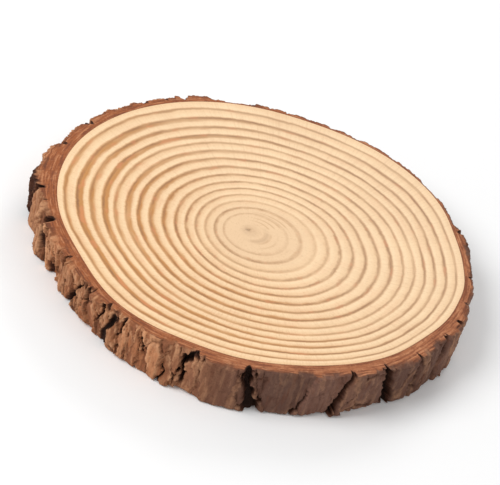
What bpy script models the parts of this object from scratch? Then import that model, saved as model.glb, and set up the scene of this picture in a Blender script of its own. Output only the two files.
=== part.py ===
"""Wood slice: a thin round sawn straight across a pine log, with the bark left on its rim.

The slice grew as one piece, so it is one closed solid: a disc of wood, the bark that grows on
it, and nothing inside.  Units are metres and +Z is up.  It lies on its sawn underside.  The
origin is on that underside, at the middle of the slice's length and width.  Directions round
the rim are counted in degrees from +X towards +Y.
"""

import math

import bmesh
import bpy
from mathutils import Vector, noise

# Driving dimensions
WOOD_RADIUS = 0.074
THICKNESS = 0.0175

# Thickness of the bark round the rim, measured in the sawn face: direction, and metres.  The
# bark is thickest on the side towards -X, where it stands out in a knob, thin from +X to +Y,
# and almost worn through near 35 and 110 degrees.
BARK_DEPTHS = (
    (-180.0, 0.0066),
    (-175.0, 0.0090),
    (-170.0, 0.0076),
    (-165.0, 0.0053),
    (-150.0, 0.0049),
    (-140.0, 0.0050),
    (-131.0, 0.0038),
    (-118.0, 0.0033),
    (-104.0, 0.0037),
    (-93.0, 0.0053),
    (-70.0, 0.0051),
    (-50.0, 0.0053),
    (-35.0, 0.0056),
    (-18.0, 0.0044),
    (-6.0, 0.0029),
    (8.0, 0.0021),
    (15.0, 0.0033),
    (23.0, 0.0035),
    (26.0, 0.0013),
    (42.0, 0.0011),
    (46.0, 0.0028),
    (53.0, 0.0027),
    (58.0, 0.0020),
    (95.0, 0.0021),
    (104.0, 0.0018),
    (107.0, 0.0014),
    (113.0, 0.0015),
    (117.0, 0.0036),
    (136.0, 0.0038),
    (158.0, 0.0042),
    (170.0, 0.0048),
    (180.0, 0.0066),
)
FULL_DEPTH = 0.0046        # bark this thick carries plates of full height

# Where the bark is drawn in towards the underside: direction, half width in degrees, metres
UNDERCUT = (-137.0, 28.0, 0.0018)

# The wood's outline: lobes round the rim, their height as a share of the radius, and the turn
# of the pattern in degrees.
OUTLINE_LOBES = (
    (2, 0.0020, 38.0),
    (3, 0.0070, -75.0),
    (4, 0.0065, 120.0),
    (5, 0.0060, 156.0),
)

# Shallow dents and swellings of that outline: direction, half width in degrees, and height as a
# share of the radius.
OUTLINE_DENTS = (
    (-142.0, 12.0, -0.015),
    (-122.0, 8.0, 0.005),
    (-100.0, 10.0, -0.013),
    (-32.0, 11.0, -0.018),
    (-3.0, 7.0, 0.010),
    (20.0, 9.0, -0.011),
    (84.0, 14.0, -0.008),
)

# The fissures that split the bark into plates: direction, width, depth as a share of the bark's
# thickness, and the degrees by which the upper end leans one way and the lower end the other.
FISSURES = (
    (-171.0, 0.0026, 0.80, 1.2),
    (-155.0, 0.0030, 0.82, -1.4),
    (-135.0, 0.0017, 0.75, 3.2),
    (-120.5, 0.0020, 0.70, 1.8),
    (-99.5, 0.0023, 0.78, 2.2),
    (-83.0, 0.0030, 0.72, -1.6),
    (-60.0, 0.0015, 0.65, 2.2),
    (-47.0, 0.0028, 0.75, -1.2),
    (-39.0, 0.0015, 0.55, 0.9),
    (-19.0, 0.0019, 0.72, 1.4),
    (-9.0, 0.0015, 0.55, -1.0),
    (3.0, 0.0018, 0.65, -1.6),
    (21.0, 0.0016, 0.60, -0.6),
    (38.0, 0.0020, 0.60, 0.5),
    (56.0, 0.0016, 0.60, 1.9),
    (71.0, 0.0022, 0.65, -1.6),
    (90.0, 0.0018, 0.60, 1.8),
    (104.0, 0.0015, 0.50, -0.5),
    (121.0, 0.0024, 0.70, 1.4),
    (139.0, 0.0018, 0.65, -1.9),
    (155.0, 0.0022, 0.70, 1.6),
    (171.0, 0.0017, 0.60, -1.6),
)
RIM_DEPTH = 0.62           # a fissure's depth in the sawn faces, as a share of its full depth
PLATE_RISE = 0.0009        # how far an average plate stands out beyond the fissures' lips
PLATE_LEAN = 0.0007        # how far one side of a plate stands out beyond its other side
PLATE_TILT = 0.0008        # how far a plate's foot stands out beyond its head, or the reverse
PLATE_VARIETY = 1.6        # how much plates differ in height, as a share of an average one
PLATE_SHOULDER = 8         # power of a plate's profile: a high one gives a flat-topped plate
# Rows of the noise that each plate reads its own numbers from: step to a degree, and row
PLATE_HEIGHT_ROW = (0.37, 3.0)
PLATE_LEAN_ROW = (0.41, 7.0)
PLATE_TILT_ROW = (0.43, 11.0)
RAGGED = 0.0007            # roughness of the bark's outer face
RAGGED_COUNT = 14.0        # how many rough spots there are in one radius of the slice
RAGGED_LEVELS = 3.0        # how many rough spots there are one above the other
LEAST_BARK = 0.0008        # bark that is left where it is thinnest
CRUMBLED = 0.0004          # how far the saw crumbled the bark back at its two sharp edges

# Mesh density
STEPS_ROUND = 432
SIDE_LEVELS = (0.0, 0.07, 0.30, 0.55, 0.80, 0.94, 1.0)
SAME_PLACE = 0.00001       # corners nearer than this are one corner
WOOD_SHARE = 1.0           # place of the wood's edge in the turned profile
BARK_SHARE = 2.0           # place of the bark's outer face in the turned profile

WOOD_COLOUR = (0.80, 0.60, 0.36, 1.0)
BARK_COLOUR = (0.17, 0.075, 0.045, 1.0)


def degrees_apart(first, second):
    """Signed turn from second to first, between -180 and 180 degrees."""
    return (first - second + 180.0) % 360.0 - 180.0


def wood_radius(angle):
    """Radius of the wood's edge in the direction angle, in radians."""
    swell = 0.0
    for lobes, height, turn in OUTLINE_LOBES:
        swell += height * math.cos(lobes * angle + math.radians(turn))
    for place, spread, height in OUTLINE_DENTS:
        swell += height * math.exp(-((degrees_apart(math.degrees(angle), place) / spread) ** 2))
    return WOOD_RADIUS * (1.0 + swell)


def bark_depth(direction):
    """Mean thickness of the bark at a direction in degrees."""
    for (first, depth), (last, following) in zip(BARK_DEPTHS, BARK_DEPTHS[1:]):
        if direction <= last:
            share = (direction - first) / (last - first)
            return depth + (following - depth) * share * share * (3.0 - 2.0 * share)
    return BARK_DEPTHS[-1][1]


def notch(direction, level):
    """Depth of the fissures at a direction in degrees, from 0 on a plate to 1."""
    deepest = 0.0
    for place, width, depth, lean in FISSURES:
        line = place + lean * (2.0 * level - 1.0)
        away = abs(degrees_apart(direction, line)) / math.degrees(width / WOOD_RADIUS)
        deepest = max(deepest, depth * (1.0 - away))
    return deepest * (RIM_DEPTH if level in (0.0, 1.0) else 1.0)


def plate_number(start, row):
    """One of a plate's own numbers, about -1 to 1, told by the direction where it starts."""
    return noise.noise(Vector((start * row[0], row[1], 0.5)))


def plate_shape(direction, level):
    """How far the plate at this direction and level stands out, in metres."""
    places = [place for place, _, _, _ in FISSURES]
    start = min(places, key=lambda place: (direction - place) % 360.0)
    span = min((place - start) % 360.0 for place in places if place != start)
    across = 2.0 * ((direction - start) % 360.0) / span - 1.0
    flat_top = 1.0 - abs(across) ** PLATE_SHOULDER
    rise = PLATE_RISE * (1.0 + PLATE_VARIETY * plate_number(start, PLATE_HEIGHT_ROW))
    rise += 2.0 * PLATE_LEAN * plate_number(start, PLATE_LEAN_ROW) * across
    rise += 2.0 * PLATE_TILT * plate_number(start, PLATE_TILT_ROW) * (1.0 - 2.0 * level)
    return rise * flat_top


def bark_thickness(angle, level):
    """Thickness of the bark at an angle in radians, from level 0 below to 1 above."""
    direction = math.degrees(angle)
    base = bark_depth(direction)
    vigour = min(1.0, math.sqrt(base / FULL_DEPTH))
    grown = base + vigour * plate_shape(direction, level)
    away = degrees_apart(direction, UNDERCUT[0]) / UNDERCUT[1]
    grown -= UNDERCUT[2] * math.exp(-(away ** 2)) * (1.0 - level)
    turned = Vector((math.cos(angle), math.sin(angle), 0.0)) * RAGGED_COUNT
    ragged = vigour * RAGGED * noise.noise(turned + Vector((0.0, 0.0, level * RAGGED_LEVELS)))
    crumbled = CRUMBLED if level in (0.0, 1.0) else 0.0
    thickness = grown * (1.0 - notch(direction, level)) + ragged - crumbled
    return max(thickness, LEAST_BARK)


def turned_slice():
    """A mesh turned from the slice's half profile, then pushed out to the grown outline."""
    bm = bmesh.new()
    profile = [(0.0, 0.0), (WOOD_SHARE, 0.0)]
    profile += [(BARK_SHARE, level) for level in SIDE_LEVELS]
    profile += [(WOOD_SHARE, 1.0), (0.0, 1.0)]
    corners = [bm.verts.new((share, 0.0, level)) for share, level in profile]
    edges = [bm.edges.new(pair) for pair in zip(corners, corners[1:])]
    bmesh.ops.spin(bm, geom=corners + edges, cent=(0.0, 0.0, 0.0), axis=(0.0, 0.0, 1.0),
                   angle=math.tau, steps=STEPS_ROUND, use_merge=True)
    bmesh.ops.remove_doubles(bm, verts=bm.verts, dist=SAME_PLACE)
    for vert in bm.verts:
        push_out(vert)
    bmesh.ops.recalc_face_normals(bm, faces=bm.faces)
    return bm


def push_out(vert):
    """Move one corner of the turned mesh to its real place."""
    share = vert.co.xy.length
    level = min(max(round(vert.co.z, 4), 0.0), 1.0)
    angle = math.atan2(vert.co.y, vert.co.x)
    radius = min(share, WOOD_SHARE) * wood_radius(angle)
    if share > 0.5 * (WOOD_SHARE + BARK_SHARE):
        radius += bark_thickness(angle, level)
    vert.co = Vector((radius * math.cos(angle), radius * math.sin(angle), level * THICKNESS))


def outside_wood(vert):
    """Whether a corner of the slice lies beyond the wood's edge, on the bark."""
    angle = math.atan2(vert.co.y, vert.co.x)
    return vert.co.xy.length > wood_radius(angle) + SAME_PLACE


def centre_footprint(bm):
    """Shift the slice so that the middle of its length and width is at the origin."""
    across = [vert.co.x for vert in bm.verts]
    along = [vert.co.y for vert in bm.verts]
    middle = Vector((min(across) + max(across), min(along) + max(along), 0.0)) / 2.0
    bmesh.ops.translate(bm, verts=bm.verts, vec=-middle)


def principled(name, colour, roughness):
    """A plain Principled BSDF material."""
    material = bpy.data.materials.new(name)
    material.use_nodes = True
    shader = material.node_tree.nodes["Principled BSDF"]
    shader.inputs["Base Color"].default_value = colour
    shader.inputs["Roughness"].default_value = roughness
    shader.inputs["Metallic"].default_value = 0.0
    return material


def sawn_wood():
    """Bare sawn and sanded pine."""
    return principled("sawn_wood", WOOD_COLOUR, 0.62)


def pine_bark():
    """Dry pine bark."""
    return principled("pine_bark", BARK_COLOUR, 0.88)


def wood_slice():
    """The whole slice: sawn wood inside its ring of bark, as one solid."""
    bm = turned_slice()
    for face in bm.faces:
        face.material_index = 1 if any(outside_wood(vert) for vert in face.verts) else 0
        face.smooth = abs(face.normal.z) < 0.5
    centre_footprint(bm)
    mesh = bpy.data.meshes.new("wood_slice")
    bm.to_mesh(mesh)
    bm.free()
    mesh.materials.append(sawn_wood())
    mesh.materials.append(pine_bark())
    piece = bpy.data.objects.new("wood_slice", mesh)
    bpy.context.scene.collection.objects.link(piece)
    return piece


def main():
    """Clear the scene and model the slice."""
    for old in list(bpy.data.objects):
        bpy.data.objects.remove(old)
    wood_slice()


main()
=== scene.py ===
"""A round slice of pine, dressed for the camera: sawn wood with its growth rings, and its bark.

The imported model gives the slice's real size and place.  Two visible pieces stand for its one
solid: the disc of sawn wood, and the ring of bark that grows on it.  Both are turned from a half
profile and then pushed out to the grown outline.  Lengths are in metres, directions round the
slice are counted from +X towards +Y, and levels run from 0 on the underside to 1 on the upper
face.
"""

import logging
import math
from dataclasses import dataclass, field
from enum import Enum
from typing import NamedTuple

import bmesh
import bpy
from mathutils import Matrix, Vector, noise


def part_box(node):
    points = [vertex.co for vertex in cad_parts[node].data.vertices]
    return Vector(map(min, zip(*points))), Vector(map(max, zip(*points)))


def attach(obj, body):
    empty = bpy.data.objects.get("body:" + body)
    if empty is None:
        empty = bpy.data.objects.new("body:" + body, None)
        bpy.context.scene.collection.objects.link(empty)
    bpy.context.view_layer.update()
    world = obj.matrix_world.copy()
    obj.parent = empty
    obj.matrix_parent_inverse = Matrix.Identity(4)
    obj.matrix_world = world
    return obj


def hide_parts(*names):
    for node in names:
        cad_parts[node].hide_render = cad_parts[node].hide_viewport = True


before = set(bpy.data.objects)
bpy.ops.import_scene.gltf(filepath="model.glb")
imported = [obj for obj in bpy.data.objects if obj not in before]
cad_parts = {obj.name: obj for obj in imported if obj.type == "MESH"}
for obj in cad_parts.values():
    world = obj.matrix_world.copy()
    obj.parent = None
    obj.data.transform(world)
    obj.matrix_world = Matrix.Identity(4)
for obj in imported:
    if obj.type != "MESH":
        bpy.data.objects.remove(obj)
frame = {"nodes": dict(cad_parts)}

NODE = "wood_slice"
BODY = "root"
MILLIMETRE = 0.001
SECTOR_STEPS = 24
SAME_PLACE = 1e-5
MAP_NAME = "OFBake"
NOISE_SEED = 11

log = logging.getLogger("wood_slice")

Triple = tuple[float, float, float]
Socket = bpy.types.NodeSocket
Value = Socket | float | Triple
Coats = tuple[tuple[Value, Value], ...]


class Slot(Enum):
    """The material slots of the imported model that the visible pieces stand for."""

    WOOD = "wood"
    BARK = "bark"


def smoothstep(low: float, high: float, value: float) -> float:
    """Ease from 0 at low to 1 at high.

    Args:
        low: Where the step starts.
        high: Where it ends.
        value: The number to ease.

    Returns:
        A share from 0 to 1.
    """
    share = min(max((value - low) / (high - low), 0.0), 1.0)
    return share * share * (3.0 - 2.0 * share)


def degrees_apart(first: float, second: float) -> float:
    """Signed turn from the second direction to the first, between -180 and 180 degrees."""
    return (first - second + 180.0) % 360.0 - 180.0


def on_cylinder(radius: float, angle: float, height: float) -> Vector:
    """A place on a cylinder round the Z axis, in a direction in radians."""
    return Vector((radius * math.cos(angle), radius * math.sin(angle), height))


class Lobe(NamedTuple):
    """A wave round an outline: how many crests it has, their height, and its turn in degrees."""

    crests: int
    height: float
    turn: float

    def at(self, angle: float) -> float:
        """The wave's height in a direction in radians."""
        return self.height * math.cos(self.crests * angle + math.radians(self.turn))


class Dent(NamedTuple):
    """A local dent or swelling: its direction and its half width in degrees, and its height."""

    place: float
    spread: float
    height: float

    def at(self, direction: float) -> float:
        """The dent's height at a direction in degrees."""
        away = degrees_apart(direction, self.place) / self.spread
        return self.height * math.exp(-(away**2))


class Fissure(NamedTuple):
    """A crack that splits the bark from its outside.

    place is in degrees, width in metres, depth a share of the bark.  lean turns the upper end one
    way and the lower end the other, in degrees.  low and high are the levels where it ends.
    """

    place: float
    width: float
    depth: float
    lean: float = 0.0
    low: float = -0.2
    high: float = 1.2


@dataclass(frozen=True)
class GrownOutline:
    """The edge of the wood, and how the growth rings inside it are placed.

    A ring is named by its share: 0 at the pith and 1 at the wood's edge.  The pith lies off the
    middle, so the rings' centres drift from it to the middle of the outline.  lobes, dents, pith,
    drift and oval are shares of the radius.  slow_years, last_years and lags shift the years
    where the tree grew slowly, in its last years and from side to side.
    """

    radius: float
    lobes: tuple[Lobe, ...] = (
        Lobe(2, 0.0020, 38.0),
        Lobe(3, 0.0070, -75.0),
        Lobe(4, 0.0065, 120.0),
        Lobe(5, 0.0060, 156.0),
    )
    dents: tuple[Dent, ...] = (
        Dent(-142.0, 12.0, -0.015),
        Dent(-122.0, 8.0, 0.005),
        Dent(-100.0, 10.0, -0.013),
        Dent(-32.0, 11.0, -0.018),
        Dent(-3.0, 7.0, 0.010),
        Dent(20.0, 9.0, -0.011),
        Dent(84.0, 14.0, -0.008),
    )
    pith: tuple[float, float] = (-0.062, -0.088)
    drift: tuple[float, float] = (0.248, -0.168)
    oval: Lobe = Lobe(2, 0.020, 47.0)
    ring_width: float = 0.0551
    slow_years: float = 0.12
    slow_share: float = 0.48
    slow_spread: float = 0.13
    last_years: float = -0.22
    last_shares: tuple[float, float] = (0.80, 0.97)
    lag_shares: tuple[float, float] = (0.35, 0.62)
    lags: tuple[Lobe, ...] = (
        Lobe(0, -0.26, 0.0),
        Lobe(1, -0.16, 170.0),
        Lobe(2, -0.10, -20.0),
    )

    def swell(self, angle: float) -> float:
        """Height of the wood's edge over a plain circle, as a share of the radius.

        Args:
            angle: Direction in radians.

        Returns:
            The swell, which is below 0 in a dent.
        """
        direction = math.degrees(angle)
        waves = sum(lobe.at(angle) for lobe in self.lobes)
        return waves + sum(dent.at(direction) for dent in self.dents)

    def edge(self, angle: float) -> float:
        """Radius of the wood's edge in a direction in radians."""
        return self.radius * (1.0 + self.swell(angle))

    def ring_point(self, share: float, angle: float) -> Vector:
        """Place of a point on a growth ring.

        Args:
            share: The ring, from 0 at the pith to 1 at the edge.
            angle: Direction in radians, seen from the ring's own centre.

        Returns:
            The point, with its height at 0.
        """
        rest = 1.0 - share
        middle_x = self.pith[0] * rest + self.drift[0] * share * rest
        middle_y = self.pith[1] * rest * (1.0 + share) + self.drift[1] * share * rest
        waviness = self.swell(angle) * share * share + 4.0 * share * rest * self.oval.at(angle)
        reach = share * (1.0 + waviness)
        return self.radius * (Vector((middle_x, middle_y, 0.0)) + on_cylinder(reach, angle, 0.0))

    def year(self, share: float, angle: float) -> float:
        """Age of the wood at a place: a whole number is the end of a year's growth.

        Args:
            share: The ring, from 0 at the pith to 1 at the edge.
            angle: Direction in radians, seen from the ring's own centre.

        Returns:
            The age in years.
        """
        slow = math.exp(-(((share - self.slow_share) / self.slow_spread) ** 2))
        last = self.last_years * smoothstep(*self.last_shares, share)
        lag = sum(lobe.at(angle) for lobe in self.lags) * smoothstep(*self.lag_shares, share)
        return share / self.ring_width + self.slow_years * slow + last + lag


class Flake(NamedTuple):
    """A thin flake at one spot of the bark.

    gap is the distance to its edge, own its random number, and slope how high its slope stands
    there, both from -1 to 1.
    """

    gap: float
    own: float
    slope: float


class BarkSpot(NamedTuple):
    """What the bark is like at one spot of its outer face.

    thickness is in metres.  sunk is 0 on a plate's face and 1 at the bottom of a deep fissure;
    the finish paints it dark, partly the bark's own colour and partly painted shade in the
    fissures and cracks, and painted shadow by the curled knob.  tone and layer are the shades
    of the plate and of the flake, from -1 to 1, and lip_highlight, a painted highlight, is 1
    on the broken edge of a flake.
    """

    thickness: float
    sunk: float
    tone: float
    layer: float
    lip_highlight: float


@dataclass(frozen=True)
class BarkRelief:
    """The bark's outer face: plates between fissures, built of thin flakes, cracked and rough.

    depths are directions in degrees and the bark's mean thickness there in millimetres.  flakes
    and small_flakes say how many there are side by side, and above one another, in a
    millimetre.  The rows tell where each plate reads its own height, lean and tilt.
    """

    outline: GrownOutline
    height: float
    grey_side: float = -5.0
    depths: tuple[tuple[float, float], ...] = (
        (-180.0, 6.6), (-175.0, 9.0), (-170.0, 7.6), (-165.0, 5.3), (-150.0, 4.9), (-140.0, 5.0),
        (-131.0, 3.8), (-118.0, 3.3), (-104.0, 3.7), (-93.0, 5.3), (-70.0, 5.1), (-50.0, 5.3),
        (-35.0, 5.6), (-18.0, 4.4), (-6.0, 2.9), (8.0, 2.1), (15.0, 3.3), (23.0, 3.5),
        (26.0, 1.3), (42.0, 1.1), (46.0, 2.8), (53.0, 2.7), (58.0, 2.0), (95.0, 2.1),
        (104.0, 1.8), (107.0, 1.4), (113.0, 1.5), (117.0, 3.6), (136.0, 3.8), (158.0, 4.2),
        (170.0, 4.8), (180.0, 6.6),
    )
    full_depth: float = 4.6
    fissures: tuple[Fissure, ...] = (
        Fissure(-171.0, 0.0026, 0.80, 1.2),
        Fissure(-163.0, 0.0007, 0.50, -1.2, 0.35),
        Fissure(-155.0, 0.0030, 0.82, -1.4),
        Fissure(-148.5, 0.0006, 0.50, 1.5, -0.2, 0.60),
        Fissure(-142.5, 0.0007, 0.60, 1.6, 0.45),
        Fissure(-135.0, 0.0017, 0.75, 3.2, -0.2, 0.92),
        Fissure(-130.5, 0.0006, 0.60, 2.0, 0.50),
        Fissure(-124.5, 0.0008, 0.60, 2.2, 0.15),
        Fissure(-120.5, 0.0020, 0.70, 1.8, -0.2, 1.00),
        Fissure(-117.0, 0.0007, 0.60, 1.2, 0.35),
        Fissure(-110.0, 0.0006, 0.45, -2.0, 0.30, 0.95),
        Fissure(-103.5, 0.0007, 0.50, 1.5, -0.2, 0.55),
        Fissure(-99.5, 0.0023, 0.78, 2.2, 0.10),
        Fissure(-95.5, 0.0006, 0.40, 0.0, 0.80),
        Fissure(-83.0, 0.0030, 0.72, -1.6),
        Fissure(-70.0, 0.0007, 0.40, 1.6, -0.2, 0.75),
        Fissure(-60.0, 0.0013, 0.65, 2.2),
        Fissure(-56.0, 0.0008, 0.45, 4.0, 0.10, 0.65),
        Fissure(-47.0, 0.0028, 0.75, -1.2),
        Fissure(-39.0, 0.0011, 0.55, 0.9, 0.25),
        Fissure(-28.0, 0.0009, 0.50, 1.6, 0.35),
        Fissure(-19.0, 0.0019, 0.72, 1.4),
        Fissure(-9.0, 0.0012, 0.55, -1.0),
        Fissure(3.0, 0.0018, 0.65, -1.6),
        Fissure(21.0, 0.0016, 0.60, -0.6),
        Fissure(38.0, 0.0020, 0.60, 0.5),
        Fissure(56.0, 0.0016, 0.60, 1.9),
        Fissure(71.0, 0.0022, 0.65, -1.6),
        Fissure(90.0, 0.0018, 0.60, 1.8),
        Fissure(104.0, 0.0014, 0.50, -0.5, 0.2),
        Fissure(121.0, 0.0024, 0.70, 1.4),
        Fissure(130.0, 0.0008, 0.50, -1.4, 0.3),
        Fissure(139.0, 0.0018, 0.65, -1.9),
        Fissure(155.0, 0.0022, 0.70, 1.6),
        Fissure(164.0, 0.0008, 0.50, 1.0, -0.2, 0.7),
        Fissure(171.0, 0.0017, 0.60, -1.6, 0.1),
    )
    undercut: Dent = Dent(-137.0, 28.0, 0.0018)
    # Painted shadow: the bark by the curled knob near -175 degrees is painted dark.
    painted_knob_shadow: Dent = Dent(-175.5, 5.0, 0.45)
    worn: tuple[Dent, ...] = (
        Dent(-91.0, 5.5, 0.80),
        Dent(-70.0, 9.0, 0.60),
        Dent(-168.0, 4.0, 0.50),
    )
    rim_depth: float = 0.62
    rim_height: float = 0.16
    plate_rise: float = 0.9 * MILLIMETRE
    plate_lean: float = 0.7 * MILLIMETRE
    plate_tilt: float = 0.8 * MILLIMETRE
    plate_variety: float = 1.6
    plate_shoulder: int = 8
    height_row: tuple[float, float] = (0.37, 3.0)
    lean_row: tuple[float, float] = (0.41, 7.0)
    tilt_row: tuple[float, float] = (0.43, 11.0)
    flakes: tuple[float, float] = (0.26, 0.07)
    small_flakes: tuple[float, float] = (0.60, 0.085)
    flake_step: float = 0.50 * MILLIMETRE
    flake_tilt: float = 0.75 * MILLIMETRE
    small_step: float = 0.28 * MILLIMETRE
    crack_depth: float = 0.55 * MILLIMETRE
    rough_depth: float = 0.22 * MILLIMETRE
    least: float = 0.8 * MILLIMETRE

    def base(self, angle: float) -> float:
        """Mean thickness of the bark in a direction in radians."""
        direction = degrees_apart(math.degrees(angle), 0.0)
        for (first, depth), (last, following) in zip(self.depths, self.depths[1:]):
            if direction <= last:
                share = smoothstep(first, last, direction)
                return (depth + (following - depth) * share) * MILLIMETRE
        return self.depths[-1][1] * MILLIMETRE

    def greyness(self, angle: float) -> float:
        """How grey the bark is in a direction in radians, from 0 to 1, most towards grey_side."""
        return smoothstep(-0.35, 0.35, math.cos(angle - math.radians(self.grey_side)))

    def spot(self, angle: float, level: float) -> BarkSpot:
        """The bark at one spot of its outer face.

        Args:
            angle: Direction in radians.
            level: From 0 on the lower rim to 1 on the upper rim.

        Returns:
            Its thickness and its shades.
        """
        reach = self.outline.radius / MILLIMETRE
        place = on_cylinder(reach, angle, level * self.height / MILLIMETRE)
        large = self.flake(place, *self.flakes)
        small = self.flake(place, *self.small_flakes)
        warm_share = 1.0 - 0.65 * self.greyness(angle)
        rough = 1.0 - max(patch.at(math.degrees(angle)) for patch in self.worn)
        direction = math.degrees(angle) + self.stray(place) + 0.75 * large.own
        notch, start, across = self.plate_at(direction, level)
        crack = self.crack(place, large, small, warm_share) * rough
        base = self.base(angle)
        vigour = min(1.0, math.sqrt(base / (self.full_depth * MILLIMETRE)))
        height = self.flake_step * large.own + self.flake_tilt * large.slope
        height *= 0.50 + 0.50 * warm_share
        height += self.small_step * warm_share * (small.own + small.slope)
        height = self.plate(start, across, level) + height * rough - self.crack_depth * crack
        grown = base + vigour * height - self.undercut.at(direction) * (1.0 - level)
        rim = smoothstep(0.0, self.rim_height, min(level, 1.0 - level))
        cut = notch * (self.rim_depth + (1.0 - self.rim_depth) * rim)
        thickness = grown * (1.0 - cut) + vigour * self.roughness(place) * (1.0 + notch)
        layer = (0.55 * large.own + 0.75 * warm_share * small.own) * (0.4 + 0.6 * rough)
        return BarkSpot(
            thickness=max(thickness, self.least),
            # sunk paints fissures and cracks dark, partly their own colour and partly painted
            # shade, and adds the painted shadow by the curled knob.
            sunk=min(1.0, 1.35 * notch + 0.30 * crack + self.painted_knob_shadow.at(direction)),
            tone=noise.cell(Vector((start, 5.5, 0.5))),
            layer=max(-1.0, min(1.0, layer)),
            lip_highlight=self.lip_highlight(large, small, warm_share) * (1.0 - crack) * (1.0 - notch) * rough,
        )

    def crack(self, place: Vector, large: Flake, small: Flake, warm_share: float) -> float:
        """Depth of the fine cracks between the flakes.

        Args:
            place: A place on a cylinder round the slice, in millimetres.
            large: The large flake there.
            small: The small flake there.
            warm_share: How far the bark lies from its grey side, up to 1.

        Returns:
            The depth, from 0 to 1.
        """
        crack = (1.0 - smoothstep(0.02, 0.11, large.gap)) * self.gaping(place)
        small_crack = (1.0 - smoothstep(0.02, 0.12, small.gap)) * self.gaping(place * 1.7)
        return max(crack, self.split(place) * warm_share, 0.6 * warm_share * small_crack)

    def lip_highlight(self, large: Flake, small: Flake, warm_share: float) -> float:
        """Where a highlight is painted on the broken edges of the flakes.

        Args:
            large: The large flake.
            small: The small flake.
            warm_share: How far the bark lies from its grey side, up to 1.

        Returns:
            1 on an edge, falling to 0 inside the flakes.
        """
        lip_highlight = (1.0 - smoothstep(0.10, 0.30, large.gap)) * smoothstep(-0.1, 0.4, large.own)
        small_lip_highlight = (1.0 - smoothstep(0.08, 0.30, small.gap)) * smoothstep(0.0, 0.5, small.own)
        return max(lip_highlight, warm_share * small_lip_highlight)

    def stray(self, place: Vector) -> float:
        """How far the pattern of plates strays sideways at a place, in degrees."""
        upright = Vector((0.05 * place.x, 0.05 * place.y, 0.11 * place.z))
        wander = 1.6 * noise.noise(upright)
        wander += 0.9 * noise.noise(place * 0.30)
        return wander + 0.55 * noise.noise(place * 0.95)

    def plate_at(self, direction: float, level: float) -> tuple[float, float, float]:
        """The fissure and the plate at a direction.

        Args:
            direction: In degrees, already strayed.
            level: From 0 on the lower rim to 1 on the upper rim.

        Returns:
            The fissures' depth there, the direction where the plate starts, and the place across
            it from -1 to 1.
        """
        notch = 0.0
        behind, ahead, start = 360.0, 360.0, 0.0
        for fissure in self.fissures:
            line = fissure.place + fissure.lean * (2.0 * level - 1.0)
            away = degrees_apart(direction, line)
            if abs(away) < 5.0:
                notch = max(notch, self.notch(fissure, away, level))
            if away % 360.0 < behind:
                behind = away % 360.0
                start = fissure.place
            ahead = min(ahead, -away % 360.0)
        across = 2.0 * behind / max(behind + ahead, 1e-6) - 1.0
        return notch, start, across

    def notch(self, fissure: Fissure, away: float, level: float) -> float:
        """Depth of one fissure.

        Args:
            fissure: The fissure.
            away: Distance from its middle, in degrees.
            level: From 0 on the lower rim to 1 on the upper rim.

        Returns:
            The depth, as a share of the bark.
        """
        half_turn = math.degrees(0.5 * fissure.width / self.outline.radius)
        belly = 0.75 + 0.5 * noise.noise(Vector((fissure.place, 2.3 * level, 0.5)))
        ends = smoothstep(fissure.low, fissure.low + 0.3, level)
        ends *= 1.0 - smoothstep(fissure.high - 0.3, fissure.high, level)
        reach = 2.0 * half_turn * belly * (0.35 + 0.65 * ends)
        return fissure.depth * ends * (1.0 - smoothstep(0.48, 1.0, abs(away) / reach))

    def plate(self, start: float, across: float, level: float) -> float:
        """How far a plate stands out.

        Args:
            start: Direction where the plate starts, which tells one plate from another.
            across: Place across the plate, from -1 to 1.
            level: From 0 on the lower rim to 1 on the upper rim.

        Returns:
            The height over the fissures' lips, in metres.
        """
        character, lean, tilt = (
            noise.noise(Vector((start * step, row, 0.5)))
            for step, row in (self.height_row, self.lean_row, self.tilt_row)
        )
        flat_top = 1.0 - abs(across) ** self.plate_shoulder
        rise = self.plate_rise * (1.0 + self.plate_variety * character)
        rise += 2.0 * self.plate_lean * lean * across
        rise += 2.0 * self.plate_tilt * tilt * (1.0 - 2.0 * level)
        return rise * flat_top

    def flake(self, place: Vector, across: float, upright: float) -> Flake:
        """The thin flake at a place: long, upright and broken off along ragged edges.

        Args:
            place: A place on a cylinder round the slice, in millimetres.
            across: How many flakes there are side by side in a millimetre.
            upright: How many flakes there are above one another in a millimetre.

        Returns:
            The flake.
        """
        ragged = 0.9 * noise.noise_vector(place * 0.35) + 0.35 * noise.noise_vector(place * 1.1)
        strayed = place + ragged * min(1.0, 0.22 / across)
        pressed = Vector((across * strayed.x, across * strayed.y, upright * strayed.z))
        distances, centres = noise.voronoi(pressed)
        centre = centres[0]
        own = noise.cell(centre * 37.0)
        turn = 0.42 * math.pi * noise.cell(centre * 53.0)
        away = pressed - centre
        sideways = Vector((-place.y, place.x, 0.0)).normalized()
        slope = away.z * math.sin(turn) + away.dot(sideways) * math.cos(turn)
        return Flake(distances[1] - distances[0], own, max(-1.0, min(1.0, slope)))

    def gaping(self, place: Vector) -> float:
        """Where the flakes' edges gape, from 0 to 1, at a place in millimetres."""
        return smoothstep(-0.25, 0.25, noise.noise(place * 0.21 + Vector((0.0, 0.0, 57.0))))

    def split(self, place: Vector) -> float:
        """Depth of the thin upright splits at a place in millimetres, from 0 to 1."""
        upright = Vector((0.50 * place.x, 0.50 * place.y, 0.075 * place.z))
        line = abs(noise.noise(upright + Vector((0.0, 0.0, 31.0))))
        where = noise.noise(place * 0.15 + Vector((0.0, 0.0, 77.0)))
        return (1.0 - smoothstep(0.015, 0.075, line)) * smoothstep(0.0, 0.20, where)

    def roughness(self, place: Vector) -> float:
        """The fine roughness of the outer face at a place in millimetres."""
        streak = Vector((1.2 * place.x, 1.2 * place.y, 0.30 * place.z))
        grit = 0.65 * noise.noise(streak) + 0.35 * noise.noise(place * 1.9)
        return self.rough_depth * grit


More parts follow.
